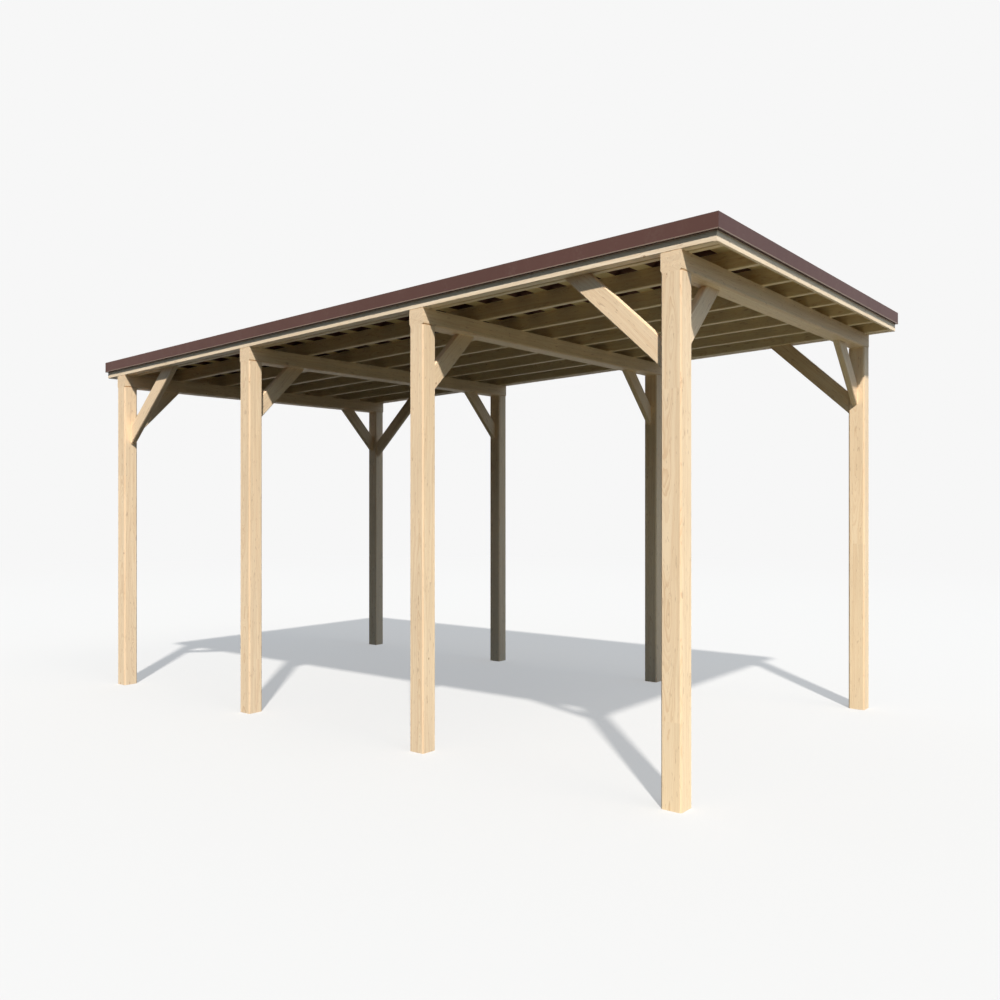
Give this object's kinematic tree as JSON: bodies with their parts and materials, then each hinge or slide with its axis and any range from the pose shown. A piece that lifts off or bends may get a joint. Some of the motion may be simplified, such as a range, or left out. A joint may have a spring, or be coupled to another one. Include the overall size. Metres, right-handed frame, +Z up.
{
  "type": "carport",
  "caption": "Tall open timber carport: square glulam posts, cross beams and knee braces under purlins and a low-pitch trapezoidal metal roof with a folded metal edge trim.",
  "frame": {"origin": "at foot level under the middle of the roof", "axes": "+X along the parking bay towards the entrance, +Y across it towards the high side, +Z up"},
  "size_m": [7.946, 4.276, 4.1086],
  "materials": {
    "glulam": "planed, untreated spruce",
    "planed_timber": "planed, untreated",
    "coated_trim": "brown coil coating, satin",
    "coated_sheet": "brown coil coating, satin"
  },
  "bodies": {
    "root": {"cross_beam_1": "glulam", "cross_beam_2": "glulam", "cross_beam_3": "glulam", "cross_beam_4": "glulam", "cross_brace_far_1": "glulam", "cross_brace_far_2": "glulam", "cross_brace_far_3": "glulam", "cross_brace_far_4": "glulam", "cross_brace_near_1": "glulam", "cross_brace_near_2": "glulam", "cross_brace_near_3": "glulam", "cross_brace_near_4": "glulam", "edge_beam_far": "planed_timber", "edge_beam_near": "planed_timber", "end_board_front": "planed_timber", "end_board_rear": "planed_timber", "long_brace_far_front": "glulam", "long_brace_far_rear": "glulam", "long_brace_near_front": "glulam", "long_brace_near_rear": "glulam", "post_far_1": "glulam", "post_far_2": "glulam", "post_far_3": "glulam", "post_far_4": "glulam", "post_near_1": "glulam", "post_near_2": "glulam", "post_near_3": "glulam", "post_near_4": "glulam", "purlin_1": "planed_timber", "purlin_2": "planed_timber", "purlin_3": "planed_timber", "purlin_4": "planed_timber", "purlin_5": "planed_timber", "purlin_6": "planed_timber", "purlin_7": "planed_timber", "purlin_8": "planed_timber", "roof_sheet_1": "coated_sheet", "roof_sheet_2": "coated_sheet", "roof_sheet_3": "coated_sheet", "roof_sheet_4": "coated_sheet", "trim_far": "coated_trim", "trim_front": "coated_trim", "trim_near": "coated_trim", "trim_rear": "coated_trim"}
  },
  "joints": []
}
